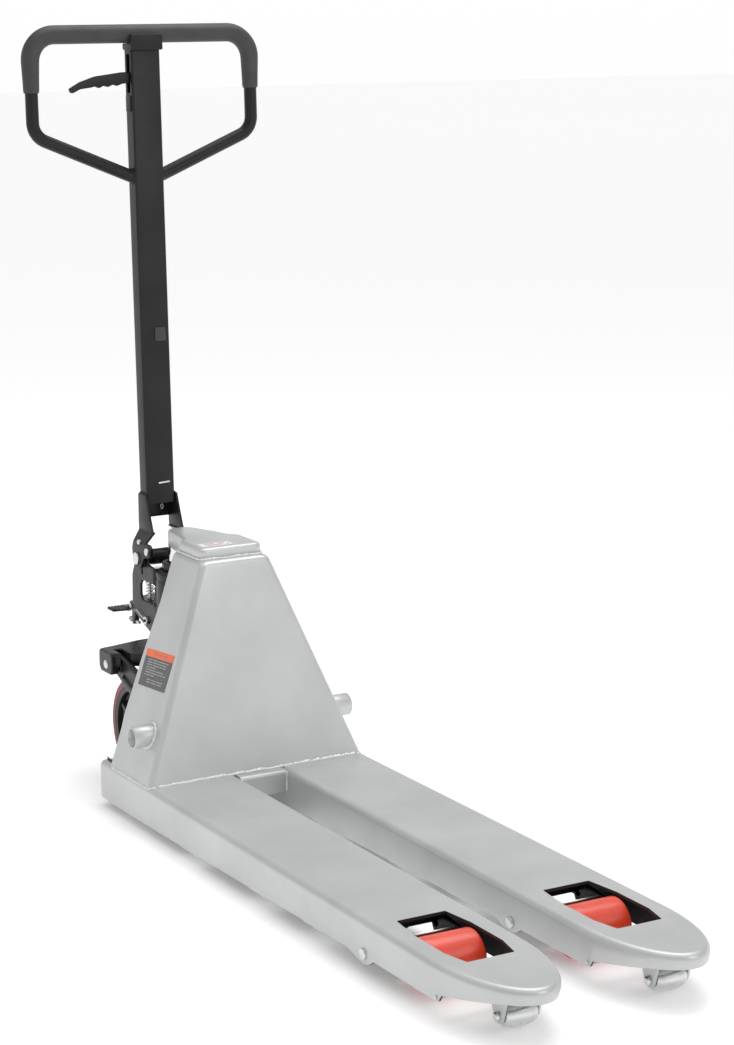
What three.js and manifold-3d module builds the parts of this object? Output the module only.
// Hand pallet truck: a narrow fork frame carried by a hydraulic pump unit at the back and by a load
// roller in each fork tip. Millimetres, +Z up, +X towards the fork tips, +Y to the left when looking
// along +X. Drawn with x = 0 where the tower's front face meets the decks, then moved as a whole so that
// the origin is under the middle of its length.
import * as THREE from "three";
import { mergeVertices } from "three/addons/utils/BufferGeometryUtils.js";
import Module from "manifold-3d";

const wasm = await Module();
wasm.setup();

// ---- driving dimensions ----
const OVERALL_WIDTH = 406.4; // over both forks
const FORK_WIDTH = 160.2;
const FORK_TIP = 1047;
const DECK = 80; // lowered height of the fork decks
const SHEET = 5; // fork plate thickness
const FORK_Y = (OVERALL_WIDTH - FORK_WIDTH) / 2; // a fork's centre line
const SPLIT = 8; // where the fork meets its heel, just ahead of the tower
const GAP = 0.3; // between pieces that touch
const ROLLER_X = 799.5;
const ROLLER_R = 38;
const ROLLER_LENGTH = 90;
const ARM_PIVOT = [707, 31]; // x, z of the load arm's pin
const PUSH_PIN = [690.1, 55.8]; // x, z of the push rod's front pin
const ENTRY = [978, 24]; // x, z of the entry roller
const ENTRY_R = 19;
const SHAFT = [-58, 152]; // x, z of the rocker's cross shaft
const SHAFT_R = 14.5;
const REAR_PIN = [-74.9, 60.1]; // x, z of the push rod's rear pin
const LUG_PIN = [-300, 214]; // x, z of the crosshead's pins
const ARM_Y = 115; // a rocker arm's centre line
const TOWER_TOP = 430;
const RAM_X = -287; // steering and ram axis
const RAM_R = 20;
const WHEEL_R = 92;
const WHEEL_WIDTH = 50;
const WHEEL_Y = 71; // a steer wheel's middle
const HANDLE_PIVOT = [-355, 382];
const PRESS_ROLLER = [-379, 372];
const YOKE_BOLT = [-312, 401];
const PLUNGER_X = -367;
const PEDAL_PIVOT = [-408, 285];
const POST_FOOT = [-372.5, 502]; // x, z that heights along the post are counted from
const HANDLE_LEAN = THREE.MathUtils.degToRad(1.72);
const POST_WIDTH = 54;
const POST_DEPTH = 30;
const POST_LENGTH = 768;
const LOOP_HALF = 206.5; // centre line of the handle loop
const LOOP_TOP = 786; // above the post's foot, along the post
const GRIP_R = 16.5;
const TUBE_R = 11;

// ---- solids ----
const solid = (geometry) => {
  const bare = geometry.index ? geometry.toNonIndexed() : geometry;
  bare.deleteAttribute("normal");
  bare.deleteAttribute("uv");
  const g = mergeVertices(bare, 1e-4);
  return new wasm.Manifold(
    new wasm.Mesh({
      numProp: 3,
      vertProperties: g.attributes.position.array,
      triVerts: new Uint32Array(g.index.array),
    }),
  );
};
const join = (first, ...rest) => rest.reduce((a, b) => a.add(b), first);
const cut = (first, ...rest) => rest.reduce((a, b) => a.subtract(b), first);

const box = (x0, x1, y0, y1, z0, z1) =>
  solid(
    new THREE.BoxGeometry(x1 - x0, y1 - y0, z1 - z0).translate((x0 + x1) / 2, (y0 + y1) / 2, (z0 + z1) / 2),
  );

// A round bar along Y (the default), X or Z, between two values on that axis.
const bar = (r, [a, b], from, to, axis = "y", sides = 16) => {
  const g = new THREE.CylinderGeometry(r, r, to - from, sides);
  const middle = (from + to) / 2;
  if (axis === "y") g.translate(a, middle, b);
  if (axis === "z") g.rotateX(Math.PI / 2).translate(a, b, middle);
  if (axis === "x") g.rotateZ(Math.PI / 2).translate(middle, a, b);
  return solid(g);
};
const tubeBar = (outer, inner, at, from, to, axis = "y", sides = 20) =>
  cut(bar(outer, at, from, to, axis, sides), bar(inner, at, from - 1, to + 1, axis, sides));

// An outline in X and Z, given thickness along Y.
const plateXZ = (shape, y0, y1) =>
  solid(
    new THREE.ExtrudeGeometry(shape, { depth: y1 - y0, bevelEnabled: false, curveSegments: 5 })
      .rotateX(Math.PI / 2)
      .translate(0, y1, 0),
  );
// An outline in X and Y, given height along Z.
const plateXY = (shape, z0, z1, extra = {}) =>
  solid(
    new THREE.ExtrudeGeometry(shape, { depth: z1 - z0, bevelEnabled: false, curveSegments: 5, ...extra })
      .translate(0, 0, z0),
  );
// The same with its upper and lower edges rounded to radius r.
const roundedXY = (shape, z0, z1, r) =>
  plateXY(shape, z0 + r, z1 - r, {
    bevelEnabled: true,
    bevelThickness: r,
    bevelSize: r,
    bevelOffset: -r,
    bevelSegments: 3,
  });
const outline = (points) => new THREE.Shape(points.map(([x, y]) => new THREE.Vector2(x, y)));

// The outline round two or more circles in X and Z, such as a link between pins.
const link = (...circles) => {
  const rim = circles.flatMap(([x, z, r]) =>
    Array.from({ length: 12 }, (_, i) => {
      const a = (i * Math.PI) / 6;
      return [x + r * Math.cos(a), z + r * Math.sin(a)];
    }),
  );
  rim.sort((p, q) => p[0] - q[0] || p[1] - q[1]);
  const turn = (o, p, q) => (p[0] - o[0]) * (q[1] - o[1]) - (p[1] - o[1]) * (q[0] - o[0]);
  const half = (list) =>
    list.reduce((hull, p) => {
      while (hull.length > 1 && turn(hull.at(-2), hull.at(-1), p) <= 1e-6) hull.pop();
      return [...hull, p];
    }, []);
  const lower = half(rim);
  const upper = half([...rim].reverse());
  return outline([...lower.slice(0, -1), ...upper.slice(0, -1)]);
};

// A closed skin through rings of equal length, each a list of [x, y, z] in order.
const loft = (rings) => {
  const n = rings[0].length;
  const at = rings.flat(2);
  const index = [];
  for (let i = 0; i + 1 < rings.length; i++)
    for (let j = 0; j < n; j++) {
      const a = i * n + j;
      const b = i * n + ((j + 1) % n);
      index.push(a, b, a + n, b, b + n, a + n);
    }
  for (let j = 1; j + 1 < n; j++) {
    const last = (rings.length - 1) * n;
    index.push(0, j + 1, j, last, last + j, last + j + 1);
  }
  const g = new THREE.BufferGeometry();
  g.setAttribute("position", new THREE.Float32BufferAttribute(at, 3));
  g.setIndex(index);
  return solid(g);
};

// ---- finishes ----
const paint = (color, roughness, metalness = 0) =>
  new THREE.MeshStandardMaterial({ color, roughness, metalness });
const silver = paint(0xbcbfbe, 0.42, 0.35);
const black = paint(0x1d1d1f, 0.5);
const zinc = paint(0xc9cbcb, 0.3, 0.9);
const rubber = paint(0x2b2b2c, 0.85);
const orange = paint(0xf05a3c, 0.4);
const darkRed = paint(0x8a2b2e, 0.5);

const group = new THREE.Group();
const add = (name, made, material, parent = group) => {
  const { vertProperties, triVerts, numProp } = made.getMesh();
  const g = new THREE.BufferGeometry();
  const v = new Float32Array((vertProperties.length / numProp) * 3);
  for (let i = 0; i < v.length / 3; i++) v.set(vertProperties.subarray(i * numProp, i * numProp + 3), i * 3);
  g.setAttribute("position", new THREE.BufferAttribute(v, 3));
  g.setIndex(new THREE.BufferAttribute(triVerts, 1));
  g.computeVertexNormals();
  const mesh = new THREE.Mesh(g, material);
  mesh.name = name;
  parent.add(mesh);
  return mesh;
};
// Each side's name, its sign along Y, and its fork's centre line.
const SIDES = [
  ["right", -1],
  ["left", 1],
].map(([name, sign]) => ({ name, sign, y: sign * FORK_Y }));
const span = (sign, near, far) => [Math.min(sign * near, sign * far), Math.max(sign * near, sign * far)];

// ---- forks ----
const HALF = FORK_WIDTH / 2;
const NOSE = [
  [900, 79], [952, 71], [985, 61.5], [1008, 52], [1024, 42], [1036, 30], [1043.5, 17],
];
const forkOutline = (y, inset) => {
  const side = [[SPLIT - 60, HALF - inset], [870, HALF - inset]];
  const nose = NOSE.map(([x, half]) => [x - inset * (x > 1000 ? 0.8 : 0.2), half - inset]);
  const tip = [[FORK_TIP - inset, 5]];
  const edge = [...side, ...nose, ...tip];
  return outline([
    ...edge.map(([x, half]) => [x, y - half]),
    ...edge.map(([x, half]) => [x, y + half]).reverse(),
  ]);
};
const forkSide = outline([
  [SPLIT, 15.5], [655, 26], [668, 25], [693, 18], [708, 16.5], [722, 19.5], [734, 28], [809, 28], [906, 29],
  [911, 38], [960, 47], [1010, 55], [1060, 58], [1060, 100], [SPLIT, 100],
]);
const WINDOW = [[731, 40], [790, 47.5], [870, 47.5], [914, 38]];
for (const { name, sign, y } of SIDES) {
  const outer = roundedXY(forkOutline(y, 0), -20, DECK, 10);
  const inner = plateXY(forkOutline(y, SHEET), -40, DECK - SHEET);
  const window = outline([
    ...WINDOW.map(([x, half]) => [x, y - half]),
    ...WINDOW.map(([x, half]) => [x, y + half]).reverse(),
  ]);
  const fork = cut(
    outer.intersect(plateXZ(forkSide, y - 100, y + 100)),
    inner,
    plateXY(window, 60, 100),
    bar(8.3, ARM_PIVOT, y - 90, y + 90),
  );
  add("fork_" + name, fork, silver);

  // the heel: the fork's channel carried on under the tower, its back end cut on the slant
  const heel = outline(
    [[SPLIT - GAP, FORK_Y + HALF], [-197, FORK_Y + HALF], [-197, 130], [-140, FORK_Y - HALF],
      [SPLIT - GAP, FORK_Y - HALF]].map(([x, half]) => [x, sign * half]),
  );
  const well = outline(
    [[-18, FORK_Y + 68], [-146, FORK_Y + 68], [-146, 128], [-122, FORK_Y - 68], [-18, FORK_Y - 68]]
      .map(([x, half]) => [x, sign * half]),
  );
  const under = outline(
    [[40, FORK_Y + HALF - SHEET], [-230, FORK_Y + HALF - SHEET], [-230, 100], [-134, FORK_Y - HALF + SHEET],
      [40, FORK_Y - HALF + SHEET]].map(([x, half]) => [x, sign * half]),
  );
  const heelSide = outline([
    [20, 15], [-60, 14], [-190, 14], [-197, 42], [-192, 60], [-183, 70], [-160, DECK], [20, DECK],
  ]);
  add(
    "heel_" + name,
    cut(
      plateXY(heel, 0, 100).intersect(plateXZ(heelSide, -300, 300)),
      plateXY(under, -20, DECK - SHEET),
      plateXY(well, 60, 100),
    ),
    silver,
  );

  // pin that the load arm turns on, its heads standing out of the skirts
  add(
    "arm_pin_" + name,
    join(
      bar(7.8, ARM_PIVOT, y - HALF - 1, y + HALF + 1),
      bar(8.6, ARM_PIVOT, y - HALF - 4, y - HALF - GAP),
      bar(8.6, ARM_PIVOT, y + HALF + GAP, y + HALF + 4),
    ),
    zinc,
  );

  // doubler under the nose, with the entry roller's two ears
  const nosePlate = outline([
    [928, y - 62], [985, y - 50], [1012, y - 38], [1026, y - 20], [1026, y + 20], [1012, y + 38],
    [985, y + 50], [928, y + 62],
  ]);
  const ear = link([ENTRY[0], ENTRY[1], 10], [ENTRY[0] - 16, 62, 7], [ENTRY[0] + 16, 62, 7]);
  add(
    "nose_plate_" + name,
    cut(
      join(
        plateXY(nosePlate, 62, 68),
        plateXZ(ear, y - 30, y - 26),
        plateXZ(ear, y + 26, y + 30),
      ),
      bar(4.4, ENTRY, y - 40, y + 40),
    ),
    silver,
  );
  add(
    "entry_bolt_" + name,
    join(
      bar(4, ENTRY, y - 32, y + 32, "y", 12),
      bar(7, ENTRY, y - 35.5, y - 30.3, "y", 6),
      bar(7, ENTRY, y + 30.3, y + 35, "y", 6),
    ),
    zinc,
  );
  add(
    "entry_roller_" + name,
    cut(
      join(
        bar(ENTRY_R, ENTRY, y - 22, y + 22, "y", 20),
        bar(ENTRY_R - 3, ENTRY, y - 25, y + 25, "y", 20),
      ),
      bar(4.6, ENTRY, y - 40, y + 40),
    ),
    zinc,
  );

  // load arm: two cheeks from the pin to the roller, tied by a web, with slots for the push rod's pin
  const cheek = link([...ARM_PIVOT, 15], [ROLLER_X, ROLLER_R, 19], [PUSH_PIN[0], PUSH_PIN[1], 12]);
  const slot = link([PUSH_PIN[0], PUSH_PIN[1], 6.8], [PUSH_PIN[0] + 3.6, PUSH_PIN[1] - 5.2, 6.8]);
  add(
    "load_arm_" + name,
    cut(
      join(
        plateXZ(cheek, y - 55, y - 47),
        plateXZ(cheek, y + 47, y + 55),
        box(748, 752, y - 50, y + 50, 22, 60),
        box(714, 752, y - 50, y + 50, 21, 27),
      ),
      bar(8.3, ARM_PIVOT, y - 90, y + 90),
      plateXZ(slot, y - 90, y + 90),
      bar(10.4, [ROLLER_X, ROLLER_R], y - 90, y + 90),
    ),
    black,
  );
  add("roller_axle_" + name, bar(10, [ROLLER_X, ROLLER_R], y - 57, y + 57), zinc);
  const end = ROLLER_LENGTH / 2;
  const rollerProfile = [
    [10.5, -end], [ROLLER_R - 4, -end], [ROLLER_R - 1, -end + 1.2], [ROLLER_R, -end + 4],
    [ROLLER_R, end - 4], [ROLLER_R - 1, end - 1.2], [ROLLER_R - 4, end], [10.5, end], [10.5, -end],
  ].map(([r, h]) => new THREE.Vector2(r, h));
  add(
    "load_roller_" + name,
    solid(new THREE.LatheGeometry(rollerProfile, 28).translate(ROLLER_X, y, ROLLER_R)),
    orange,
  );

  // push rod: a round bar with a cross pin in front and a fork with its pin behind
  const rodPoint = (x) => {
    const t = (x - REAR_PIN[0]) / (PUSH_PIN[0] - REAR_PIN[0]);
    return REAR_PIN[1] + t * (PUSH_PIN[1] - REAR_PIN[1]);
  };
  const rodTilt = Math.atan2(PUSH_PIN[1] - REAR_PIN[1], PUSH_PIN[0] - REAR_PIN[0]);
  const rodFrom = REAR_PIN[0] + 22;
  const rodLength = PUSH_PIN[0] - rodFrom;
  const rod = solid(
    new THREE.CylinderGeometry(8, 8, rodLength, 12)
      .rotateZ(Math.PI / 2)
      .rotateY(-rodTilt)
      .translate(rodFrom + rodLength / 2, y, rodPoint(rodFrom + rodLength / 2)),
  );
  const jaw = link([...REAR_PIN, 11], [REAR_PIN[0] + 26, rodPoint(REAR_PIN[0] + 26), 9]);
  add(
    "push_rod_" + name,
    join(
      rod,
      bar(6, PUSH_PIN, y - 57, y + 57, "y", 12),
      plateXZ(jaw, y - 12, y - 7.5),
      plateXZ(jaw, y + 7.5, y + 12),
      box(REAR_PIN[0] + 19, REAR_PIN[0] + 33, y - 12, y + 12, REAR_PIN[1] - 9, REAR_PIN[1] + 9),
      bar(5.5, REAR_PIN, y - 14, y + 14, "y", 12),
    ),
    black,
  );
}

// channel that ties the two heels together
add(
  "cross_member",
  cut(
    box(-70, 21, -FORK_Y + HALF + GAP, FORK_Y - HALF - GAP, 41, 79),
    box(-71, 16, -100, 100, 30, 74),
  ),
  silver,
);

// ---- tower ----
const TOWER_FOOT = DECK + GAP;
const TOWER_SHEET = 4;
const towerHalf = (z) => 200 - (133 * (z - DECK)) / 339;
const towerFront = (z) => (-67 * (z - DECK)) / 339;
const towerRing = (z, inset, back) => {
  const half = towerHalf(z) - inset;
  const front = towerFront(z) - inset * 1.02;
  const bend = Math.max(12 - inset, 6);
  const corner = Array.from({ length: 4 }, (_, i) => {
    const a = (i * Math.PI) / 6;
    return [front - bend + bend * Math.cos(a), half - bend + bend * Math.sin(a)];
  });
  return [...corner, [back, half], ...[...corner, [back, half]].reverse().map(([x, y]) => [x, -y])]
    .map(([x, y]) => [x, y, z]);
};
const towerSide = outline([
  [20, TOWER_FOOT], [-153, TOWER_FOOT], [-160, 142], [-165, 163], [-166, 198], [-169, 252], [-168, 350],
  [-174, 407], [-176, TOWER_TOP], [20, TOWER_TOP],
]);
const BOSS_R = 19;
const throughBosses = bar(BOSS_R + 0.4, SHAFT, -300, 300, "y", 24);
add(
  "tower_shell",
  cut(
    loft([towerRing(TOWER_FOOT, 0, -200), towerRing(TOWER_TOP, 0, -200)])
      .intersect(plateXZ(towerSide, -300, 300)),
    loft([
      towerRing(TOWER_FOOT - 5, TOWER_SHEET, -240),
      towerRing(TOWER_TOP + 5, TOWER_SHEET, -240),
    ]),
    throughBosses,
  ),
  silver,
);
for (const { name, sign } of SIDES) {
  const [y0, y1] = span(sign, 148, 205);
  add("shaft_boss_" + name, tubeBar(BOSS_R, SHAFT_R + 0.7, SHAFT, y0, y1, "y", 24), silver);
}

// cap: the plate that closes the tower, carried back in a nose that sits on the ram
const CAP_FOOT = TOWER_TOP + GAP;
const CAP_TOP = 449;
const capOutline = (inset) => {
  const edge = [
    [-300.5 + inset, 10 - inset / 2], [-296 + inset, 17 - inset], [-285, 23 - inset], [-262, 30 - inset],
    [-215, 38 - inset], [-186, 44 - inset], [-176, 51 - inset], [-168, 57 - inset],
    [-98 - inset, 59 - inset], [-88 - inset, 56 - inset], [-83 - inset, 46 - inset],
  ];
  return outline([
    ...edge.map(([x, half]) => [x, -half]),
    ...edge.map(([x, half]) => [x, half]).reverse(),
  ]);
};
const capSide = outline([
  [-60, CAP_FOOT], [-180, CAP_FOOT], [-186, 418], [-205, 415], [-295, 415], [-303, 421], [-304, 441],
  [-290, CAP_TOP - 6], [-200, CAP_TOP], [-60, CAP_TOP + 1],
]);
const capBody = roundedXY(capOutline(0), 400, CAP_TOP, 4).intersect(plateXZ(capSide, -100, 100));
const capHollow = plateXY(capOutline(5), 380, 436).intersect(
  plateXZ(outline([[-270, 380], [-270, 434], [-200, 440], [-90, 440], [-90, 380]]), -100, 100),
);
add("tower_cap", cut(capBody, capHollow), silver);

// the ram stays with the frame: the cap's nose stands on its ball end
add("ram", bar(RAM_R, [RAM_X, 0], 165, 415 - GAP, "z", 20), zinc);

// ---- rocker: two arms and two levers on a torsion tube round the cross shaft ----
add("rocker_shaft", bar(SHAFT_R, SHAFT, -200, 200, "y", 16), zinc);
const armOutline = outline([
  [-315, 203], [-306, 196], [-250, 172], [-185, 146], [-100, 118], [-62, 118], [-40, 132], [-34, 152],
  [-42, 170], [-58, 176], [-150, 196], [-240, 219], [-288, 230], [-303, 231], [-315, 222],
]);
const armSlot = link([...LUG_PIN, 9.2], [LUG_PIN[0] + 8.5, LUG_PIN[1] - 2, 9.2]);
const lever = link([...SHAFT, 24], [...REAR_PIN, 13]);
const leverSlot = link([...REAR_PIN, 6.1], [REAR_PIN[0] + 0.5, REAR_PIN[1] + 2.4, 6.1]);
const rockerPieces = SIDES.flatMap(({ sign, y }) => {
  const [a0, a1] = span(sign, ARM_Y - 6, ARM_Y + 6);
  const rib = outline([[-270, 186], [-262, 183], [-120, 140], [-120, 150], [-255, 196], [-268, 199]]);
  const [r0, r1] = span(sign, ARM_Y - 6, ARM_Y + 6 + 5);
  return [
    cut(plateXZ(armOutline, a0, a1), plateXZ(armSlot, a0 - 1, a1 + 1)),
    plateXZ(rib, r0, r1),
    cut(plateXZ(lever, y - 6.5, y + 6.5), plateXZ(leverSlot, y - 8, y + 8)),
  ];
});
add(
  "rocker_arm",
  cut(
    join(
      bar(23, SHAFT, -128, 128, "y", 16),
      box(-132, -60, -ARM_Y, ARM_Y, 146, 158),
      ...rockerPieces,
    ),
    bar(SHAFT_R + 0.5, SHAFT, -300, 300, "y", 16),
  ),
  black,
);

// ---- crosshead: hangs on the pump's neck and carries the rocker on its two pins ----
const crossOutline = outline([
  [-328, -139], [-278, -139], [-268, -112], [-236, -70], [-228, 0], [-236, 70], [-268, 112], [-278, 139],
  [-328, 139], [-333, 112], [-347, 60], [-351, 0], [-347, -60], [-333, -112],
]);
const lugOutline = outline([
  [-331, 205], [-323, 197], [-283, 197], [-275, 205], [-275, 233], [-280, 238], [-326, 238], [-331, 233],
]);
const lugs = SIDES.map(({ sign }) => plateXZ(lugOutline, ...span(sign, 123, 140)));
const innerLugs = SIDES.map(({ sign }) => plateXZ(lugOutline, ...span(sign, 94, 107.5)));
const armRoom = SIDES.flatMap(({ sign }) => {
  const [y0, y1] = span(sign, ARM_Y - 7, ARM_Y + 7.5);
  return [box(-326.5, -200, y0, y1, 150, 233.5), box(-303, -200, y0, y1, 150, 260)];
});
add(
  "crosshead",
  cut(
    join(plateXY(crossOutline, 213, 238), ...lugs, ...innerLugs),
    ...armRoom,
    bar(35.5, [RAM_X, 0], 190, 260, "z", 24),
    ...SIDES.map(({ sign }) => bar(8.3, LUG_PIN, ...span(sign, 90, 150))),
  ),
  black,
);
for (const { name, sign } of SIDES)
  add("crosshead_pin_" + name, bar(8, LUG_PIN, ...span(sign, 96, 141), "y", 16), zinc);
add("thrust_bearing", tubeBar(50, 35.5, [RAM_X, 0], 238.3, 243.6, "z", 24), zinc);

// ---- pump unit ----
const NECK_R = 34.5;
const FLANGE_R = 53;
const CYLINDER_R = 42;
const RAM_BORE = RAM_R + 1.6;
const STEER_AXLE_R = 12;
const PLUNGER_R = 9;
const AXLE_R = 9; // the handle's axle
const AXLE_HOLE = AXLE_R + 0.4;
const PEDAL_PIN_R = 4.2;
const PEDAL_HOLE = PEDAL_PIN_R + 0.4;
const PEDAL_BARREL_R = 9;
const VALVE_SCREW = [-29, 254]; // y, z
const VALVE_SCREW_R = 2.8;
const pumpSide = outline([
  [-300, 250], [-326, 250], [-352, 259], [-384, 272], [-392, 284], [-392, 300], [-376, 304], [-300, 304],
]);
const cheekSide = outline([
  [-308, 290], [-400, 290], [-399, 345], [-376, 389], [-366, 397], [-354, 399], [-343, 394], [-336, 386],
  [-330, 374], [-308, 371],
]);
const cheekHole = outline([
  [-300, 306], [-358, 306], [-363, 314], [-363, 332], [-356, 341], [-300, 341],
]);
const pedalLug = outline([
  [-391, 276], [-404, 276], [-417, 279], [-417, 292], [-404, 296], [-391, 296],
]);
const pumpCheeks = SIDES.map(({ sign }) => {
  const [y0, y1] = span(sign, 36, 41);
  return join(
    cut(
      plateXZ(cheekSide, y0, y1),
      plateXZ(cheekHole, y0 - 1, y1 + 1),
      bar(AXLE_HOLE, HANDLE_PIVOT, y0 - 5, y1 + 5),
    ),
    cut(
      plateXZ(pedalLug, ...span(sign, 35.5, 40)),
      bar(PEDAL_HOLE, PEDAL_PIVOT, -60, 60, "y", 12),
    ),
  );
});
add(
  "pump_body",
  cut(
    join(
      bar(NECK_R, [RAM_X, 0], 118, 262, "z", 24),
      box(-319, -255, -43, 43, 66, 121),
      bar(FLANGE_R, [RAM_X, 0], 244, 262, "z", 24),
      bar(CYLINDER_R, [RAM_X, 0], 250, 370, "z", 24),
      plateXZ(pumpSide, -41, 41),
      ...pumpCheeks,
    ),
    bar(RAM_BORE, [RAM_X, 0], 150, 400, "z", 20),
    bar(STEER_AXLE_R + 0.4, [RAM_X, WHEEL_R], -60, 60),
    bar(PLUNGER_R + 0.6, [PLUNGER_X, 0], 275, 320, "z", 12),
  ),
  black,
);
add("gland_nut", tubeBar(31, RAM_BORE, [RAM_X, 0], 370.3, 384, "z", 12), black);
add("steer_axle", bar(STEER_AXLE_R, [RAM_X, WHEEL_R], -91.5, 91.5), zinc);

add(
  "plunger",
  join(
    bar(PLUNGER_R, [PLUNGER_X, 0], 298, 352, "z", 12),
    bar(15.5, [PLUNGER_X, 0], 349, 357.6, "z", 16),
  ),
  zinc,
);
// return spring of the plunger, five open turns
const SPRING = { r: 12.8, wire: 1.6, from: 306.4, to: 346.8, turns: 5, steps: 9 };
const springRings = Array.from({ length: SPRING.turns * SPRING.steps + 1 }, (_, i) => {
  const a = (i * 2 * Math.PI) / SPRING.steps;
  const z = SPRING.from + ((SPRING.to - SPRING.from) * i) / (SPRING.turns * SPRING.steps);
  return Array.from({ length: 5 }, (_, j) => {
    const b = (-j * 2 * Math.PI) / 5;
    const r = SPRING.r + SPRING.wire * Math.cos(b);
    return [PLUNGER_X + r * Math.cos(a), r * Math.sin(a), z + SPRING.wire * Math.sin(b)];
  });
});
add("plunger_spring", loft(springRings), zinc);

// release pedal: foot pad on the right, its arm, and the lever that works the lowering valve
const pedalArm = outline([
  [-466, 268], [-438, 266], [-424, 272], [-406, 279], [-399, 285], [-404, 292], [-418, 288], [-440, 276],
  [-466, 274],
]);
add(
  "release_pedal",
  cut(
    join(
      plateXY(outline([[-466, -62], [-438, -62], [-434, -30], [-434, 8], [-466, 8]]), 268, 273.5),
      plateXZ(pedalArm, -34, -26),
      plateXZ(pedalArm, -2, 6),
      plateXZ(link([...PEDAL_PIVOT, 9.5], [-414, 254, 6]), -34, -24),
      bar(PEDAL_BARREL_R, PEDAL_PIVOT, -34, 26),
    ),
    bar(VALVE_SCREW_R + 0.3, VALVE_SCREW, -440, -390, "x", 8),
    bar(PEDAL_HOLE, PEDAL_PIVOT, -60, 60, "y", 12),
  ),
  black,
);
add("pedal_pin", bar(PEDAL_PIN_R, PEDAL_PIVOT, -42, 42, "y", 12), zinc);
add(
  "adjusting_screw",
  join(
    bar(VALVE_SCREW_R, VALVE_SCREW, -436, -396, "x", 8),
    bar(5.2, VALVE_SCREW, -428, -421, "x", 6),
  ),
  zinc,
);

// ---- steer wheels ----
const HUB_R = 78;
const TYRE_BORE = HUB_R + GAP;
for (const { name, sign } of SIDES) {
  const at = [RAM_X, WHEEL_R];
  const outside = WHEEL_Y + WHEEL_WIDTH / 2;
  const [y0, y1] = span(sign, WHEEL_Y - WHEEL_WIDTH / 2, outside);
  const [d0, d1] = span(sign, outside - 9, outside + 2);
  const [h0, h1] = span(sign, outside - 4, outside + 2);
  const dish = cut(bar(66, at, d0, d1, "y", 28), bar(30, at, y0, y1, "y", 28));
  add(
    "wheel_hub_" + name,
    cut(
      bar(HUB_R, at, y0, y1, "y", 32),
      dish,
      bar(26, at, h0, h1, "y", 20),
      bar(STEER_AXLE_R + 0.4, at, -100, 100),
    ),
    black,
  );
  const r = WHEEL_R;
  const w = WHEEL_WIDTH / 2;
  const profile = [
    [TYRE_BORE, -w], [r - 5, -w], [r - 1.2, -w + 2], [r, -w + 6], [r, w - 6], [r - 1.2, w - 2],
    [r - 5, w], [TYRE_BORE, w], [TYRE_BORE, -w],
  ].map(([a, b]) => new THREE.Vector2(a, b));
  add(
    "tyre_" + name,
    solid(new THREE.LatheGeometry(profile, 32).translate(RAM_X, sign * WHEEL_Y, WHEEL_R)),
    darkRed,
  );
  add("axle_cap_" + name, bar(20, at, ...span(sign, 92.3, 95.6), "y", 20), zinc);
}

// ---- handle ----
const YOKE_BOLT_R = 5;
const YOKE_SHEET = 6;
const YOKE_TOP_SHEET = 4;
const YOKE_BELOW = 50; // outer faces beside the pump's cheeks
const YOKE_ABOVE = 31.3; // outer faces beside the post
const JOGGLE = [410, 428]; // heights between which the cheeks step in
const yokeLower = outline([
  [-373, 376], [-366, 366], [-353, 363], [-341, 367], [-326, 388], [-312, 389], [-301, 396], [-300, 407],
  [-307, 413], [-322, 413], [-327, JOGGLE[0] + 1], [-371, JOGGLE[0] + 1], [-376, 398],
]);
const yokeStep = outline([
  [-327, JOGGLE[0]], [-371, JOGGLE[0]], [-385, JOGGLE[1] + 1], [-330, JOGGLE[1] + 1],
]);
const yokeUpper = outline([
  [-330, JOGGLE[1]], [-385, JOGGLE[1]], [-386, 440], [-386, 492], [-356, 492], [-339, 449],
]);
const inwards = (YOKE_BELOW - YOKE_ABOVE) / (JOGGLE[1] - JOGGLE[0]);
const yokeSides = SIDES.map(({ sign }) => {
  const shear = new THREE.Matrix4().set(
    1, 0, 0, 0,
    0, 1, -sign * inwards, sign * inwards * JOGGLE[0],
    0, 0, 1, 0,
    0, 0, 0, 1,
  );
  const [y0, y1] = span(sign, YOKE_BELOW - YOKE_SHEET, YOKE_BELOW);
  const step = solid(
    new THREE.ExtrudeGeometry(yokeStep, { depth: YOKE_SHEET, bevelEnabled: false })
      .rotateX(Math.PI / 2)
      .translate(0, y1, 0)
      .applyMatrix4(shear),
  );
  const holes = [bar(AXLE_HOLE, HANDLE_PIVOT, -60, 60), bar(YOKE_BOLT_R + 0.4, YOKE_BOLT, -60, 60, "y", 12)];
  return join(
    cut(plateXZ(yokeLower, y0, y1), ...holes),
    step,
    plateXZ(yokeUpper, ...span(sign, YOKE_ABOVE - YOKE_TOP_SHEET, YOKE_ABOVE)),
  );
});
const webHalf = YOKE_ABOVE - 1;
const yokeWeb = box(-386, -381, -webHalf, webHalf, 447, 474);
add("handle_yoke", join(...yokeSides, yokeWeb), black);

const lean = (made) => {
  const m = new THREE.Matrix4().makeTranslation(POST_FOOT[0], 0, POST_FOOT[1])
    .multiply(new THREE.Matrix4().makeRotationY(-HANDLE_LEAN));
  return made.transform(m.elements);
};
const postDeep = POST_DEPTH / 2;
const postHalf = POST_WIDTH / 2;
const POST_WALL = 3;
const POST_END = -27; // its open end, between the yoke's cheeks

// the post, its lower end open, with the lever's slot in its right wall
const post = cut(
  box(-postDeep, postDeep, -postHalf, postHalf, POST_END, POST_LENGTH),
  box(
    -postDeep + POST_WALL, postDeep - POST_WALL,
    -postHalf + POST_WALL, postHalf - POST_WALL,
    POST_END - 1, POST_LENGTH - POST_WALL,
  ),
  box(-6, 6, -postHalf - 1, -postHalf + 4, 686, 752),
);
add("handle_post", lean(post), black);
add("post_plug", lean(box(postDeep + GAP, postDeep + 2, -2, 20, 258, 284)), rubber);

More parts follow.
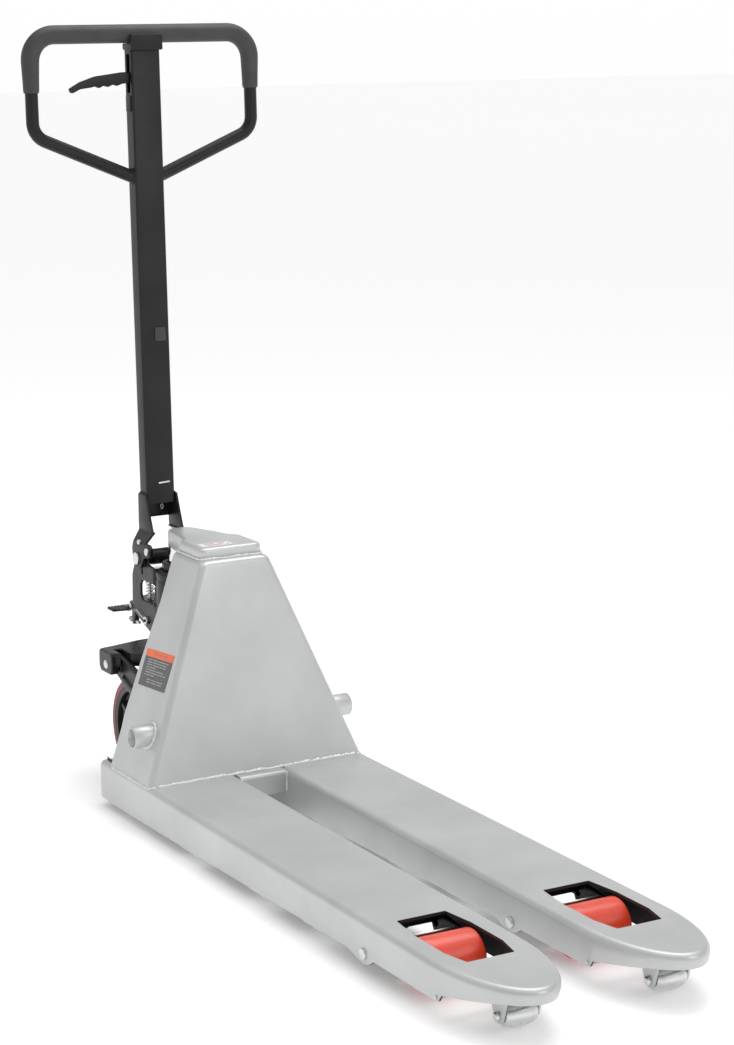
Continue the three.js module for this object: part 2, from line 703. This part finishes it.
// loop: one bent tube, in the post's middle plane, given as points of its centre line (y, height)
const arc = (cy, cz, r, from, to, steps) =>
  Array.from({ length: steps + 1 }, (_, i) => {
    const a = THREE.MathUtils.degToRad(from + ((to - from) * i) / steps);
    return [cy + r * Math.cos(a), cz + r * Math.sin(a)];
  });
const BEND = 44;
const LOW_BEND = 30;
const LOW_CENTRE = 618;
const quarter = [
  [postHalf + TUBE_R * 0.35, 546], ...arc(LOOP_HALF - LOW_BEND, LOW_CENTRE, LOW_BEND, -70, 0, 4),
  ...arc(LOOP_HALF - BEND, LOOP_TOP - BEND, BEND, 0, 90, 5),
];
const loopPath = [...quarter, ...quarter.map(([y, z]) => [-y, z]).reverse()];
const tubeAlong = (points, r, sides) => {
  const rings = points.map(([y, z], i) => {
    const before = points[Math.max(i - 1, 0)];
    const after = points[Math.min(i + 1, points.length - 1)];
    const into = new THREE.Vector2(y - before[0], z - before[1]);
    const out = new THREE.Vector2(after[0] - y, after[1] - z);
    const way = into.clone().normalize().add(out.clone().normalize()).normalize();
    return Array.from({ length: sides }, (_, j) => {
      const a = ((j + 0.5) * 2 * Math.PI) / sides;
      return [r * Math.sin(a), y - way.y * r * Math.cos(a), z + way.x * r * Math.cos(a)];
    });
  });
  return loft(rings);
};
add("handle_loop", lean(tubeAlong(loopPath, TUBE_R, 10)), black);
const GRIP_FROM = 690;
const gripQuarter = [[LOOP_HALF, GRIP_FROM], ...quarter.slice(6)];
const gripPath = [...gripQuarter, ...gripQuarter.map(([y, z]) => [-y, z]).reverse()];
const gripBore = [[LOOP_HALF, GRIP_FROM - 5], ...gripPath.slice(1, -1), [-LOOP_HALF, GRIP_FROM - 5]];
add(
  "handle_grip",
  lean(cut(tubeAlong(gripPath, GRIP_R, 12), tubeAlong(gripBore, TUBE_R + 0.6, 12))),
  rubber,
);
add(
  "handle_saddle",
  lean(
    cut(
      box(postDeep - 20, postDeep + 7, -30, 30, 758, 784),
      box(-30, postDeep + GAP, -postHalf - GAP, postHalf + GAP, 700, POST_LENGTH + GAP),
      tubeAlong([[-60, LOOP_TOP], [60, LOOP_TOP]], GRIP_R + 0.6, 12),
    ),
  ),
  black,
);

// operating lever on its pin, and the pull rod that runs down inside the post
const leverOutline = [
  [14, 706], [14, 722], [-40, 722], [-62, 717], [-90, 714], [-122, 706], [-136, 694], [-135, 689],
  [-118, 695], [-104, 694], [-96, 700], [-82, 698], [-73, 704], [-58, 702], [-48, 706], [-34, 704],
];
const LEVER_THICK = 9;
const LEVER_PIVOT = [-14, 713]; // y, height
const LEVER_PIN_R = 3;
const facingFront = new THREE.Matrix4().set(
  0, 0, 1, -LEVER_THICK / 2,
  1, 0, 0, 0,
  0, 1, 0, 0,
  0, 0, 0, 1,
);
const leverBlade = solid(
  new THREE.ExtrudeGeometry(outline(leverOutline), { depth: LEVER_THICK, bevelEnabled: false })
    .applyMatrix4(facingFront),
);
const leverHole = bar(LEVER_PIN_R + 0.4, LEVER_PIVOT, -20, 20, "x", 12);
add("control_lever", lean(cut(leverBlade, leverHole)), black);
const pinReach = postDeep - POST_WALL - GAP;
add("lever_pin", lean(bar(LEVER_PIN_R, LEVER_PIVOT, -pinReach, pinReach, "x", 12)), zinc);
add("pull_rod", lean(bar(2.5, [0, 8], -40, 693, "z", 8)), zinc);

// the handle's axle, the press lever on it, and the roller that pushes the plunger down
add(
  "handle_axle",
  join(
    bar(AXLE_R, HANDLE_PIVOT, -51, 51, "y", 16),
    bar(11, HANDLE_PIVOT, -54, -50.3, "y", 20),
    bar(11, HANDLE_PIVOT, 50.3, 54, "y", 20),
  ),
  zinc,
);
const PRESS_BOSS_R = 13.5;
const pressCheek = link([...HANDLE_PIVOT, PRESS_BOSS_R], [...PRESS_ROLLER, 7.5]);
add(
  "press_lever",
  cut(
    join(
      plateXZ(pressCheek, -20, -14.5),
      plateXZ(pressCheek, 14.5, 20),
      bar(PRESS_BOSS_R, HANDLE_PIVOT, -34, 34, "y", 16),
      bar(4.5, PRESS_ROLLER, -15, 15, "y", 12),
    ),
    bar(AXLE_HOLE, HANDLE_PIVOT, -60, 60),
  ),
  black,
);
add("press_roller", tubeBar(11, 5, PRESS_ROLLER, -14, 14, "y", 16), zinc);
for (const { name, sign } of SIDES)
  add(
    "yoke_bolt_" + name,
    join(
      bar(YOKE_BOLT_R, YOKE_BOLT, ...span(sign, 42, 51), "y", 12),
      bar(7, YOKE_BOLT, ...span(sign, 50.3, 54), "y", 6),
    ),
    zinc,
  );

const reach = new THREE.Box3().setFromObject(group);
group.position.x = -(reach.min.x + reach.max.x) / 2;

export default group;
